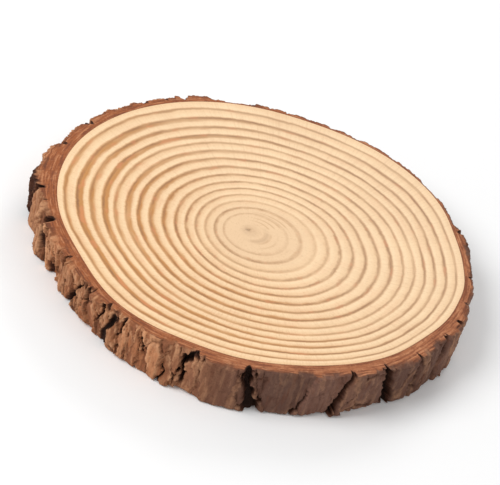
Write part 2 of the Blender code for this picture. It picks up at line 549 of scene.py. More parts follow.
def shade_value(mesh: bpy.types.Mesh, name: str, values: list[float]) -> None:
    """Give every vertex of a mesh a number that its material can read.

    Args:
        mesh: The mesh.
        name: Name of the attribute.
        values: One number for each vertex, in order.
    """
    attribute = mesh.attributes.new(name, "FLOAT", "POINT")
    attribute.data.foreach_set("value", values)


def finished(bm: bmesh.types.BMesh, name: str, crease: float = 180.0) -> bpy.types.Object:
    """Make a piece of a mesh and put it in the scene.

    Args:
        bm: The mesh, which is freed.
        name: The piece's name.
        crease: The turn between two faces, in degrees, past which their edge is sharp.

    Returns:
        The piece, at the origin.
    """
    bmesh.ops.recalc_face_normals(bm, faces=bm.faces)
    mesh = bpy.data.meshes.new(name)
    bm.to_mesh(mesh)
    bm.free()
    mesh.shade_smooth()
    mesh.set_sharp_from_angle(angle=math.radians(crease))
    piece = bpy.data.objects.new(name, mesh)
    bpy.context.scene.collection.objects.link(piece)
    return piece


def turned(profile: list[tuple[float, float]], closed: bool, steps: int) -> bmesh.types.BMesh:
    """Turn a half profile round the Z axis.

    Args:
        profile: Points as distance from the axis and height.
        closed: Whether the last point joins the first.
        steps: How many steps the full turn takes, a multiple of a sector's steps.

    Returns:
        A closed mesh, with its corners merged.
    """
    bm = bmesh.new()
    corners = [bm.verts.new((out, 0.0, up)) for out, up in profile]
    pairs = list(zip(corners, corners[1:]))
    if closed:
        pairs.append((corners[-1], corners[0]))
    edges = [bm.edges.new(pair) for pair in pairs]
    axis = (0.0, 0.0, 1.0)
    sectors = steps // SECTOR_STEPS
    sector = math.tau / sectors
    bmesh.ops.spin(bm, geom=corners + edges, axis=axis, angle=sector, steps=SECTOR_STEPS)
    geometry = bm.verts[:] + bm.edges[:] + bm.faces[:]
    rest = math.tau - sector
    bmesh.ops.spin(
        bm, geom=geometry, axis=axis, angle=rest, steps=sectors - 1, use_duplicate=True
    )
    bmesh.ops.remove_doubles(bm, verts=bm.verts, dist=SAME_PLACE)
    return bm


def even_steps(first: float, last: float, count: int) -> list[float]:
    """Evenly spaced numbers from first to last, both included."""
    return [first + (last - first) * step / count for step in range(count + 1)]


@dataclass
class SliceFrame:
    """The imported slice's box, and how the outline sits in it."""

    low: Vector
    high: Vector
    wood_share: float = 0.45853
    outline: GrownOutline = field(init=False)

    def __post_init__(self) -> None:
        """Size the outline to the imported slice."""
        self.outline = GrownOutline(radius=self.wood_share * (self.high.x - self.low.x))

    @property
    def thickness(self) -> float:
        """Distance between the two sawn faces."""
        return self.high.z - self.low.z

    @property
    def middle(self) -> Vector:
        """Middle of the slice's box."""
        return (self.low + self.high) / 2.0

    def settle(self, pieces: list[bpy.types.Object], guide: bpy.types.Object) -> None:
        """Shift pieces together, so that the guide's outline is centred in the slice's box.

        Args:
            pieces: The pieces to shift, the guide among them.
            guide: The piece that reaches furthest out.
        """
        across = [vertex.co.x for vertex in guide.data.vertices]
        along = [vertex.co.y for vertex in guide.data.vertices]
        outline_middle = Vector((min(across) + max(across), min(along) + max(along))) / 2.0
        shift = (self.middle.xy - outline_middle).to_3d()
        for piece in pieces:
            for vertex in piece.data.vertices:
                vertex.co += shift
            piece.data.update()


@dataclass
class SawnDisc:
    """The disc of sawn wood: two flat faces marked by growth rings, with softened edges."""

    frame: SliceFrame
    steps: int = 384
    rings: int = 60
    pith_shares: tuple[float, ...] = (0.0, 0.006, 0.014, 0.024)
    first_ring: float = 0.04
    soft_edge: float = 0.20 * MILLIMETRE
    soft_turns: tuple[float, ...] = (0.0, 30.0, 60.0, 90.0)
    crease: float = 50.0
    pith_width: float = 1.1 * MILLIMETRE
    pith_depth: float = 0.30 * MILLIMETRE
    reaction_side: float = 172.0
    reaction_focus: float = 2.2
    reaction_shares: tuple[float, float] = (0.40, 0.72)
    map_radius: float = 0.285 / 1.1
    map_wall: float = 0.09
    map_upper: tuple[float, float] = (0.292, 0.708)
    map_lower: tuple[float, float] = (0.708, 0.292)

    def profile(self) -> list[tuple[float, float]]:
        """The half profile, with ring shares as distances and levels as heights."""
        soft = self.soft_edge / self.frame.outline.radius
        half = self.soft_edge / self.frame.thickness
        shares = [*self.pith_shares, *even_steps(self.first_ring, 1.0 - 2.5 * soft, self.rings)]
        upper = [(share, 1.0) for share in shares]
        for turn in map(math.radians, self.soft_turns):
            upper.append((1.0 - soft * (1.0 - math.sin(turn)), 1.0 - half * (1.0 - math.cos(turn))))
        lower = [(out, 1.0 - up) for out, up in reversed(upper)]
        return upper + [(1.0, 0.5)] + lower

    def build(self) -> bpy.types.Object:
        """Make the disc's mesh.

        Returns:
            The disc, with its ages and its map on it.
        """
        bm = turned(self.profile(), closed=False, steps=self.steps)
        layout = bm.loops.layers.uv.new(MAP_NAME)
        for face in bm.faces:
            upper = sum(vert.co.z for vert in face.verts) / len(face.verts) > 0.5
            for loop in face.loops:
                loop[layout].uv = self.map_point(loop.vert.co, upper)
        years, broad, rays = [], [], []
        outline = self.frame.outline
        for vert in bm.verts:
            share = vert.co.xy.length
            angle = math.atan2(vert.co.y, vert.co.x)
            level = vert.co.z
            rays += (math.cos(angle), math.sin(angle), share)
            years.append(outline.year(share, angle))
            broad.append(self.latewood_breadth(angle, share))
            vert.co = outline.ring_point(share, angle)
            vert.co.z = self.frame.low.z + self.height_at(share, level)
        piece = finished(bm, "sawn_wood", self.crease)
        shade_value(piece.data, "year", years)
        shade_value(piece.data, "broad", broad)
        directions = piece.data.attributes.new("ray", "FLOAT_VECTOR", "POINT")
        directions.data.foreach_set("vector", rays)
        return piece

    def height_at(self, share: float, level: float) -> float:
        """Height over the underside of a point of the profile, with the dimple at the pith."""
        width = self.pith_width / self.frame.outline.radius
        dimple = self.pith_depth * math.exp(-((share / width) ** 2))
        outward = 1.0 if level > 0.5 else -1.0
        return level * self.frame.thickness - outward * dimple

    def latewood_breadth(self, angle: float, share: float) -> float:
        """How broad the dark wood of a year is, from 0 to 1.

        Args:
            angle: Direction in radians.
            share: The ring, from 0 at the pith to 1 at the edge.

        Returns:
            The breadth, which is largest on the side of reaction wood.
        """
        reaction = 0.5 + 0.5 * math.cos(angle - math.radians(self.reaction_side))
        return reaction**self.reaction_focus * smoothstep(*self.reaction_shares, share)

    def map_point(self, place: Vector, upper: bool) -> tuple[float, float]:
        """Where a point of the profile lies on the piece's own map.

        Args:
            place: The point on the turned profile.
            upper: Whether it belongs to the upper face.

        Returns:
            Its two coordinates, from 0 to 1.
        """
        depth = (1.0 - place.z) if upper else place.z
        middle = self.map_upper if upper else self.map_lower
        out = place.xy.length
        if out < SAME_PLACE:
            return middle
        reach = self.map_radius * (out + self.map_wall * 2.0 * depth)
        return (middle[0] + reach * place.x / out, middle[1] + reach * place.y / out)


@dataclass
class BarkRing:
    """The ring of bark: its rough outer face, and its two cut faces beside the wood's.

    The four map rows say where a part of the skin starts on its strip of the map, and how high it
    is there.
    """

    frame: SliceFrame
    steps: int = 1296
    across: int = 12
    upright: int = 42
    inner: int = 2
    overlap: float = 1.2 * MILLIMETRE
    drop: float = 0.10 * MILLIMETRE
    crumble: float = 0.75 * MILLIMETRE
    chip: float = 0.65 * MILLIMETRE
    sturdy: float = 3.0 * MILLIMETRE
    crease: float = 60.0
    strips: int = 4
    strip_width: float = 0.97
    strip_height: float = 0.94
    first_strip: float = 0.02
    strips_span: float = 0.96
    map_lower: tuple[float, float] = (0.0, 0.22)
    map_outer: tuple[float, float] = (0.22, 0.44)
    map_upper: tuple[float, float] = (0.66, 0.22)
    map_inner: tuple[float, float] = (0.90, 0.10)
    relief: BarkRelief = field(init=False)

    def __post_init__(self) -> None:
        """Make the relief that the ring's outer face follows."""
        self.relief = BarkRelief(self.frame.outline, self.frame.thickness)

    def profile(self) -> list[tuple[float, float]]:
        """The closed half profile: 1 to 2 from inside to outside, levels as heights."""
        outside = [(2.0, level) for level in even_steps(0.0, 1.0, self.upright)]
        top = [(share, 1.0) for share in even_steps(2.0, 1.0, self.across)]
        inside = [(1.0, level) for level in even_steps(1.0, 0.0, self.inner)]
        bottom = [(share, 0.0) for share in even_steps(1.0, 2.0, self.across)]
        return outside + top[1:] + inside[1:] + bottom[1:-1]

    def build(self) -> bpy.types.Object:
        """Make the ring's mesh.

        Returns:
            The ring, with its shades and its map on it.
        """
        bm = turned(self.profile(), closed=True, steps=self.steps)
        self.lay_out_map(bm)
        shades: dict[str, list[float]] = {}
        for vert in bm.verts:
            share = vert.co.xy.length
            angle = math.atan2(vert.co.y, vert.co.x)
            level = min(max(vert.co.z, 0.0), 1.0)
            spot = self.relief.spot(angle, level)
            vert.co = self.place(share, angle, level, spot)
            for name, value in self.shades(share, angle, level, spot).items():
                shades.setdefault(name, []).append(value)
        piece = finished(bm, "bark_ring", self.crease)
        for name, values in shades.items():
            shade_value(piece.data, name, values)
        return piece

    def shades(self, share: float, angle: float, level: float, spot: BarkSpot) -> dict[str, float]:
        """What the bark's finish reads at a point of the turned ring.

        Args:
            share: 1 on the inside and 2 on the outside.
            angle: Direction in radians.
            level: From 0 on the lower rim to 1 on the upper rim.
            spot: The bark's outer face beside it.

        Returns:
            The numbers by name: depth is the share of the bark's thickness that lies inside the
            point, layers the distance from the wood in millimetres, and cut is 1 where the saw
            went.
        """
        depth = share - 1.0
        chipped = self.chipped(angle, level) * smoothstep(0.62, 0.85, depth)
        reach = depth * (spot.thickness + self.overlap) - self.overlap
        return {
            "sunk": spot.sunk * smoothstep(0.86, 1.0, depth),
            "tone": spot.tone,
            "layer": spot.layer,
            "lip_highlight": spot.lip_highlight,
            "cut": 1.0 - chipped if depth < 0.999 else 0.0,
            "depth": depth,
            "layers": reach / MILLIMETRE,
            "grey": self.relief.greyness(angle),
        }

    def place(self, share: float, angle: float, level: float, spot: BarkSpot) -> Vector:
        """Real place of a point of the turned ring.

        Args:
            share: 1 on the inside and 2 on the outside.
            angle: Direction in radians.
            level: From 0 on the lower rim to 1 on the upper rim.
            spot: The bark's outer face beside it.

        Returns:
            The point.
        """
        out = min(max(share - 1.0, 0.0), 1.0)
        rim = 2.0 * abs(level - 0.5)
        inward = -1.0 if level > 0.5 else 1.0
        reach = self.frame.outline.radius / MILLIMETRE
        crumb = on_cylinder(reach + 8.0 * out, angle, 40.0 * level)
        broken = 0.5 + 0.5 * noise.noise(crumb * 0.45) + 0.15 * noise.noise(crumb * 1.3)
        grit = noise.noise(crumb * 1.15) + 0.6 * noise.noise(crumb * 2.6)
        weak = min(1.0, spot.thickness / self.sturdy)
        crumbled = self.crumble * broken * weak * smoothstep(0.90, 1.0, rim)
        thickness = max(spot.thickness - crumbled, self.relief.least)
        edge = self.frame.outline.edge(angle)
        radius = edge - self.overlap + out * (thickness + self.overlap)
        sunk = self.drop * (1.0 + 0.55 * grit + 1.6 * out**5) * smoothstep(0.97, 1.0, rim)
        chipped = self.chip * weak * self.chipped(angle, level)
        chipped *= smoothstep(0.55, 1.0, out) * smoothstep(0.78, 1.0, rim)
        height = self.frame.low.z + level * self.frame.thickness + inward * (sunk + chipped)
        return on_cylinder(radius, angle, height)

    def chipped(self, angle: float, level: float) -> float:
        """How far the rim nearest to a level is chipped in a direction in radians, from 0 to 1."""
        reach = self.frame.outline.radius / MILLIMETRE
        spot = on_cylinder(reach, angle, 90.0 * round(level))
        return smoothstep(0.0, 0.42, noise.noise(spot * 0.26) + 0.30 * noise.noise(spot * 0.8))

    def lay_out_map(self, bm: bmesh.types.BMesh) -> None:
        """Lay the ring's skin out flat, in strips one above the other.

        Args:
            bm: The turned ring, before it is pushed out.
        """
        layout = bm.loops.layers.uv.new(MAP_NAME)
        run = self.strips_span / self.strips
        turn = math.tau / self.strips
        for face in bm.faces:
            middle = face.calc_center_median()
            strip = int((math.atan2(middle.y, middle.x) % math.tau) // turn)
            strip_middle = (strip + 0.5) * turn
            inside = all(vert.co.xy.length < 1.001 for vert in face.verts)
            below = middle.z < 0.5
            for loop in face.loops:
                place = loop.vert.co
                angle = math.atan2(place.y, place.x)
                aside = (angle - strip_middle + math.pi) % math.tau - math.pi
                up = strip + self.strip_height * self.map_height(place, inside, below)
                loop[layout].uv = (
                    0.5 + self.strip_width * aside / turn,
                    self.first_strip + run * up,
                )

    def map_height(self, place: Vector, inside: bool, below: bool) -> float:
        """How far up its strip a point of the profile lies, from 0 to 1.

        Args:
            place: The point on the turned profile.
            inside: Whether it is seen from the ring's inner wall.
            below: Whether it is nearer the underside.

        Returns:
            The height on the strip.
        """
        out = place.xy.length - 1.0
        if inside:
            (start, height), share = self.map_inner, place.z
        elif out > 0.9999:
            (start, height), share = self.map_outer, place.z
        elif below:
            (start, height), share = self.map_lower, out
        else:
            (start, height), share = self.map_upper, 1.0 - out
        return start + height * share


def shown(red: int, green: int, blue: int) -> Triple:
    """A colour given as it shows on a screen, from 0 to 255, made linear for a shader."""

    def linear(value: int) -> float:
        """One channel, made linear."""
        share = value / 255.0
        return share / 12.92 if share <= 0.04045 else ((share + 0.055) / 1.055) ** 2.4

    return (linear(red), linear(green), linear(blue))


class Bench:
    """A bench for one node tree: it places nodes and wires their sockets."""

    def __init__(self, tree: bpy.types.NodeTree) -> None:
        """Take a tree to work on."""
        self.tree = tree

    def node(self, kind: str, **settings: object) -> bpy.types.Node:
        """Place a node.

        Args:
            kind: The node's type name, without its ShaderNode part.
            settings: Values of the node's own settings.

        Returns:
            The node.
        """
        made = self.tree.nodes.new("ShaderNode" + kind)
        for name, value in settings.items():
            setattr(made, name, value)
        return made

    def feed(self, socket: Socket, value: Value) -> None:
        """Wire a socket to another, or set its own value.

        Args:
            socket: The input.
            value: An output socket, a number, a vector or a colour.
        """
        if isinstance(value, Socket):
            self.tree.links.new(value, socket)
        elif socket.type == "RGBA" and len(value) == 3:
            socket.default_value = (*value, 1.0)
        else:
            socket.default_value = value

    def math(self, operation: str, *values: Value, clamp: bool = False) -> Socket:
        """A Math node's result.

        Args:
            operation: The operation's name.
            values: Its inputs, in order.
            clamp: Whether the result is held between 0 and 1.

        Returns:
            The output.
        """
        made = self.node("Math", operation=operation, use_clamp=clamp)
        for socket, value in zip(made.inputs, values):
            self.feed(socket, value)
        return made.outputs["Value"]

    def times(self, *values: Value, clamp: bool = False) -> Socket:
        """The product of two or more numbers.

        Args:
            values: The numbers.
            clamp: Whether the result is held between 0 and 1.

        Returns:
            The output.
        """
        product = values[0]
        for value in values[1:-1]:
            product = self.math("MULTIPLY", product, value)
        return self.math("MULTIPLY", product, values[-1], clamp=clamp)

    def rest(self, value: Value) -> Socket:
        """What is left of 1 when a number is taken from it."""
        return self.math("SUBTRACT", 1.0, value)

    def ease(self, value: Value, low: Value, high: Value) -> Socket:
        """A smooth step from 0 at low to 1 at high.

        Args:
            value: The number to ease.
            low: Where the step starts.
            high: Where it ends.

        Returns:
            The output.
        """
        made = self.node("MapRange", interpolation_type="SMOOTHSTEP", clamp=True)
        for name, given in (("Value", value), ("From Min", low), ("From Max", high)):
            self.feed(made.inputs[name], given)
        return made.outputs["Result"]

    def span(self, value: Value, low: float, high: float) -> Socket:
        """A number from 0 to 1, spread from low to high.

        Args:
            value: The number.
            low: The result at 0.
            high: The result at 1.

        Returns:
            The output.
        """
        made = self.node("MapRange", clamp=True)
        for name, given in (("Value", value), ("To Min", low), ("To Max", high)):
            self.feed(made.inputs[name], given)
        return made.outputs["Result"]

    def blend(self, share: Value, first: Value, second: Value, mode: str = "MIX") -> Socket:
        """Two colours blended.

        Args:
            share: How much of the second there is.
            first: The first colour.
            second: The second colour.
            mode: The way of blending.

        Returns:
            The colour.
        """
        made = self.node("Mix", data_type="RGBA", blend_type=mode)
        colours = [socket for socket in made.inputs if socket.type == "RGBA"]
        for socket, value in zip((made.inputs[0], *colours), (share, first, second)):
            self.feed(socket, value)
        return next(socket for socket in made.outputs if socket.type == "RGBA")

    def painted(self, colour: Value, coats: Coats) -> Socket:
        """A colour with coats of other colours over it.

        Args:
            colour: The colour below.
            coats: The share and the colour of each coat, from the lowest up.

        Returns:
            The colour.
        """
        for share, coat in coats:
            colour = self.blend(share, colour, coat)
        return colour

    def joined(self, x: Value, y: Value, z: Value) -> Socket:
        """A vector made of three numbers."""
        made = self.node("CombineXYZ")
        for socket, value in zip(made.inputs, (x, y, z)):
            self.feed(socket, value)
        return made.outputs["Vector"]

    def vector_math(self, operation: str, first: Value, second: Value) -> bpy.types.Node:
        """A Vector Math node, fed with two vectors."""
        made = self.node("VectorMath", operation=operation)
        self.feed(made.inputs[0], first)
        self.feed(made.inputs[1], second)
        return made

    def noise(
        self, vector: Value, scale: Value, detail: float, stretch: Triple | None = None
    ) -> Socket:
        """Soft noise from 0 to 1.

        Args:
            vector: Where it is read.
            scale: How many lumps there are in a unit.
            detail: How many finer layers it has.
            stretch: What the vector is multiplied with first, axis by axis.

        Returns:
            The noise's value.
        """
        if stretch is not None:
            vector = self.vector_math("MULTIPLY", vector, stretch).outputs["Vector"]
        made = self.node("TexNoise")
        for name, value in (("Vector", vector), ("Scale", scale), ("Detail", detail)):
            self.feed(made.inputs[name], value)
        return made.outputs["Fac"]

    def named(self, name: str, output: str = "Fac") -> Socket:
        """A number or vector that the mesh carries."""
        return self.node("Attribute", attribute_name=name).outputs[output]

    def own_place(self) -> Socket:
        """The object's own coordinates, in metres."""
        return self.node("TexCoord").outputs["Object"]

    def bump(self, height: Value, depth: float, normal: Socket | None = None) -> Socket:
        """A normal bent by a height.

        Args:
            height: The height, from 0 to 1.
            depth: What a height of 1 is, in metres.
            normal: A normal that is already bent, if any.

        Returns:
            The normal.
        """
        made = self.node("Bump")
        made.inputs["Distance"].default_value = depth
        self.feed(made.inputs["Height"], height)
        if normal is not None:
            self.feed(made.inputs["Normal"], normal)
        return made.outputs["Normal"]

    def placed(self, group: bpy.types.NodeTree, **inputs: Value) -> bpy.types.Node:
        """Place a node group and feed its inputs by name."""
        made = self.node("Group", node_tree=group)
        for name, value in inputs.items():
            self.feed(made.inputs[name], value)
        return made


class SharedEffects:
    """The effects that more than one finish uses, each built once as a node group."""

    def __init__(self) -> None:
        """Build the groups."""
        self.patches = self.make_patches()
        self.grit = self.make_grit()

    def patched(self, bench: Bench, colour: Value, scale: float, amount: float) -> Socket:
        """Lay slow, uneven patches over a colour.

        Args:
            bench: Where the nodes go.
            colour: The colour below.
            scale: How many patches there are in a metre.
            amount: How far they swing from light to dark.

        Returns:
            The colour.
        """
        place = bench.own_place()
        placed = bench.placed(self.patches, Colour=colour, Place=place, Scale=scale, Amount=amount)
        return placed.outputs["Colour"]

    @staticmethod
    def sockets(group: bpy.types.NodeTree, way: str, kinds: dict[str, str]) -> None:
        """Give a group its inputs or outputs.

        Args:
            group: The group.
            way: INPUT or OUTPUT.
            kinds: Type of each socket by name.
        """
        for name, kind in kinds.items():
            group.interface.new_socket(name=name, in_out=way, socket_type="NodeSocket" + kind)

    def make_patches(self) -> bpy.types.NodeTree:
        """Slow, uneven patches of lighter and darker colour.

        Returns:
            The group.
        """
        group = bpy.data.node_groups.new("uneven_patches", "ShaderNodeTree")
        inputs = {"Colour": "Color", "Place": "Vector", "Scale": "Float", "Amount": "Float"}
        self.sockets(group, "INPUT", inputs)
        self.sockets(group, "OUTPUT", {"Colour": "Color"})
        bench = Bench(group)
        given = group.nodes.new("NodeGroupInput").outputs
        result = group.nodes.new("NodeGroupOutput").inputs
        lumps = bench.noise(given["Place"], given["Scale"], 3.0)
        swing = bench.times(bench.math("SUBTRACT", lumps, 0.5), given["Amount"])
        light = bench.math("ADD", swing, 1.0)
        grey = bench.node("CombineColor")
        bench.feed(grey.inputs["Red"], light)
        bench.feed(grey.inputs["Green"], bench.math("MULTIPLY_ADD", swing, 0.25, light))
        bench.feed(grey.inputs["Blue"], bench.math("MULTIPLY_ADD", swing, 0.35, light))
        mixed = bench.blend(1.0, given["Colour"], grey.outputs["Color"], "MULTIPLY")
        bench.feed(result["Colour"], mixed)
        return group

    def make_grit(self) -> bpy.types.NodeTree:
        """Fine grit: a rough height, and a mask of its darkest pits.

        Returns:
            The group.
        """
        group = bpy.data.node_groups.new("fine_grit", "ShaderNodeTree")
        self.sockets(group, "INPUT", {"Place": "Vector", "Scale": "Float"})
        self.sockets(group, "OUTPUT", {"Height": "Float", "Pits": "Float"})
        bench = Bench(group)
        given = group.nodes.new("NodeGroupInput").outputs
        result = group.nodes.new("NodeGroupOutput").inputs
        soft = bench.noise(given["Place"], given["Scale"], 4.0)
        cells = bench.node("TexVoronoi")
        bench.feed(cells.inputs["Vector"], given["Place"])
        bench.feed(cells.inputs["Scale"], given["Scale"])
        height = bench.math("MULTIPLY_ADD", cells.outputs["Distance"], 0.35, soft)
        bench.feed(result["Height"], height)
        bench.feed(result["Pits"], bench.rest(bench.ease(soft, 0.30, 0.46)))
        return group


def principled(name: str) -> tuple[bpy.types.Material, Bench, bpy.types.Node]:
    """A new material with its Principled BSDF.

    Args:
        name: The material's name.

    Returns:
        The material, the bench for its nodes, and its shader.
    """
    material = bpy.data.materials.new(name)
    material.use_nodes = True
    return material, Bench(material.node_tree), material.node_tree.nodes["Principled BSDF"]


class Grain:
    """The grain of the wood, as sockets that tell where a point lies in its years.

    place is the object's own place, ray the direction from the pith and the ring's share, and
    year the age that the mesh carries.  aged is that age with the rings' small wavers, and grown
    joins the ray's direction to it.  fibre is fine noise along the rings, ring the ring's number,
    and within the part of the year that has gone by.  dark_side is 1 towards the reaction wood.
    """

    def __init__(self, bench: Bench, dark_side: Triple) -> None:
        """Read what the mesh carries, and work out the rest.

        Args:
            bench: Where the nodes go.
            dark_side: Direction of the reaction wood.
        """
        self.bench = bench
        self.place = bench.own_place()
        self.ray = bench.named("ray", "Vector")
        self.year = bench.named("year")
        self.aged = self.strayed_year()
        self.grown = self.along_rings()
        self.fibre = bench.noise(self.grown, 1.0, 3.0, (7.0, 7.0, 4.5))
        self.ring = bench.math("FLOOR", self.aged)
        within = bench.math("SUBTRACT", self.aged, self.ring)
        self.within = bench.math("ADD", within, bench.span(self.fibre, -0.07, 0.07))
        self.dark_side = bench.ease(self.facing(dark_side), -0.5, 0.9)

    def strayed_year(self) -> Socket:
        """The age of the wood, with slow and quick wavers of the rings."""
        bench = self.bench
        slow = bench.math("SUBTRACT", bench.noise(self.place, 55.0, 1.0), 0.5)
        quick = bench.math("SUBTRACT", bench.noise(self.ray, 1.0, 2.0, (30.0, 30.0, 10.0)), 0.5)
        aged = bench.math("MULTIPLY_ADD", slow, 0.26, self.year)
        return bench.math("MULTIPLY_ADD", quick, 0.11, aged)

    def along_rings(self) -> Socket:
        """Coordinates that follow the rings: two for the direction, and the age."""
        parts = self.bench.node("SeparateXYZ")
        self.bench.feed(parts.inputs["Vector"], self.ray)
        return self.bench.joined(parts.outputs["X"], parts.outputs["Y"], self.aged)

    def facing(self, side: Triple) -> Socket:
        """How far a place lies towards a side, from -1 to 1."""
        return self.bench.vector_math("DOT_PRODUCT", self.ray, side).outputs["Value"]

    def chance(self, row: float) -> Socket:
        """A random number from 0 to 1 for each ring; another row gives other numbers."""
        made = self.bench.node("TexWhiteNoise", noise_dimensions="1D")
        self.bench.feed(made.inputs["W"], self.bench.math("ADD", self.ring, row))
        return made.outputs["Value"]


@dataclass(frozen=True)
class SawnPine:
    """Bare pine, sawn across the grain and sanded: pale early wood, ochre late wood.

    A share says how strongly a mark shows over the colour below it.
    """

    spring: Triple = shown(251, 220, 178)
    early: Triple = shown(240, 203, 158)
    blush: Triple = shown(237, 188, 146)
    heart: Triple = shown(234, 199, 158)
    late: Triple = shown(190, 146, 103)
    reaction: Triple = shown(194, 134, 72)
    line: Triple = shown(142, 100, 66)
    resin: Triple = shown(218, 136, 92)
    pith: Triple = shown(132, 100, 70)
    dark_side: Triple = (-0.72, -0.69, 0.0)
    weak_side: Triple = (0.95, 0.30, 0.0)
    scar_side: Triple = (0.86, -0.50, 0.0)
    last_ring: float = 17.15
    blush_share: float = 0.45
    resin_share: float = 0.38
    arc_share: float = 0.42
    arcs_turn: float = 12.6
    scar_share: float = 0.30
    scar_year: float = 1.35
    ray_share: float = 0.20
    halo_share: float = 0.24
    pith_share: float = 0.75
    pit_share: float = 0.20
    roughness: float = 0.56
    gloss: float = 0.34
    saw_depth: float = 0.03 * MILLIMETRE
    ring_depth: float = 0.04 * MILLIMETRE
    grit_depth: float = 0.05 * MILLIMETRE

    def material(self, effects: SharedEffects) -> bpy.types.Material:
        """Make the material.

        Args:
            effects: The shared effects.

        Returns:
            The material.
        """
        material, bench, shader = principled("sawn_pine")
        grain = Grain(bench, self.dark_side)
        strength = bench.times(self.ring_strength(grain), bench.span(grain.dark_side, 1.0, 1.22))
        late = bench.times(self.latewood(grain), strength, bench.span(grain.fibre, 0.70, 1.15))
        dark = bench.times(grain.dark_side, bench.ease(grain.aged, 5.0, 9.0))
        dark = bench.blend(dark, self.late, self.reaction)
        faded = bench.span(bench.ease(grain.fibre, 0.30, 0.65), 0.16, 0.60)
        faded = bench.times(faded, bench.span(grain.dark_side, 0.90, 1.0))
        edge = bench.times(self.year_line(grain), strength, faded, clamp=True)
        rings = (
            (bench.rest(bench.ease(grain.year, 2.6, 5.8)), self.heart),
            (bench.times(late, 1.0, clamp=True), dark),
            (edge, self.line),
            (self.resin_dashes(grain, late), self.resin),
        )
        colour = bench.painted(self.early_wood(grain), rings)
        colour = bench.painted(colour, (*self.heart_marks(grain), *self.pith_marks(grain)))
        colour = effects.patched(bench, colour, scale=38.0, amount=0.12)
        grit = bench.placed(effects.grit, Place=grain.place, Scale=1500.0).outputs
        colour = bench.blend(bench.times(grit["Pits"], self.pit_share), colour, dark)
        bench.feed(shader.inputs["Base Color"], colour)
        rough = bench.math("MULTIPLY_ADD", late, -0.06, self.roughness)
        rough = bench.math("MULTIPLY_ADD", grit["Height"], 0.08, rough)
        bench.feed(shader.inputs["Roughness"], rough)
        shader.inputs["Specular IOR Level"].default_value = self.gloss
        saw_marks = bench.noise(grain.place, 1.0, 2.0, (30.0, 900.0, 30.0))
        normal = bench.bump(saw_marks, self.saw_depth)
        normal = bench.bump(late, self.ring_depth, normal)
        bench.feed(shader.inputs["Normal"], bench.bump(grit["Height"], self.grit_depth, normal))
        return material

    def ring_strength(self, grain: Grain) -> Socket:
        """How strongly a ring shows: each its own way, fading and returning along its length.

        Args:
            grain: The grain.

        Returns:
            The strength, about 1, which is 0 at the heart and past the last ring.
        """
        bench = grain.bench
        along = bench.noise(grain.grown, 1.0, 2.0, (3.0, 3.0, 0.8))
        young = bench.rest(bench.ease(grain.aged, 4.0, 6.5))
        weak = bench.times(bench.ease(grain.facing(self.weak_side), -0.1, 0.8), young)
        return bench.times(
            bench.span(grain.chance(0.0), 0.64, 1.14),
            bench.span(bench.ease(along, 0.25, 0.75), 0.72, 1.18),
            bench.ease(grain.aged, 2.2, 3.4),
            bench.span(bench.ease(grain.aged, 4.5, 9.5), 0.66, 1.0),
            bench.span(weak, 1.0, 0.55),
            bench.math("LESS_THAN", grain.aged, self.last_ring),
        )

    def early_wood(self, grain: Grain) -> Socket:
        """The pale wood of spring, which warms towards the year's end and in patches.

        Args:
            grain: The grain.

        Returns:
            The colour.
        """
        bench = grain.bench
        streaks = bench.noise(grain.grown, 1.0, 3.0, (5.0, 5.0, 2.2))
        coats = (
            (bench.ease(grain.within, 0.10, 0.60), self.early),
            (bench.times(bench.ease(streaks, 0.45, 0.75), self.blush_share), self.blush),
            (bench.span(grain.dark_side, 0.40, 0.0), self.heart),
            (bench.times(grain.dark_side, 0.16), self.reaction),
        )
        return bench.painted(self.spring, coats)

    def latewood(self, grain: Grain) -> Socket:
        """How far the wood of a year has darkened.

        Its band is broader on the side of the reaction wood, most of all in every other ring, and
        it swells in dashes along a ring.

        Args:
            grain: The grain.

        Returns:
            The darkening, from 0 to 1 near the year's end.
        """
        bench = grain.bench
        other = bench.math("COSINE", bench.times(grain.ring, math.pi))
        breadth = bench.times(bench.math("MULTIPLY_ADD", other, -0.10, 0.15), bench.named("broad"))
        dashes = bench.noise(grain.grown, 1.0, 1.0, (6.0, 6.0, 1.1))
        dashes = bench.span(bench.ease(dashes, 0.45, 0.75), 0.0, 0.10)
        breadth = bench.math("ADD", breadth, dashes)
        breadth = bench.math("ADD", breadth, bench.span(grain.chance(40.0), -0.07, 0.07))
        start = bench.math("SUBTRACT", bench.span(grain.dark_side, 0.70, 0.63), breadth)
        first = bench.math("SUBTRACT", start, 0.17)
        full = bench.math("ADD", start, 0.15)
        rise = bench.ease(grain.within, first, full)
        return bench.times(rise, bench.rest(bench.ease(grain.within, 0.78, 1.0)))

    def year_line(self, grain: Grain) -> Socket:
        """The thin line at the end of a year's growth, from 0 to 1."""
        rise = grain.bench.ease(grain.within, 0.58, 0.80)
        fall = grain.bench.ease(grain.within, 0.82, 0.99)
        return grain.bench.times(rise, grain.bench.rest(fall))

    def resin_dashes(self, grain: Grain, late: Socket) -> Socket:
        """Short reddish dashes of resin along some rings.

        Args:
            grain: The grain.
            late: Where the late wood is.

        Returns:
            How strongly they show, from 0 to 1.
        """
        bench = grain.bench
        where = bench.ease(bench.noise(grain.grown, 1.0, 1.0, (8.0, 8.0, 1.7)), 0.56, 0.70)
        return bench.times(where, bench.times(late, self.resin_share), clamp=True)

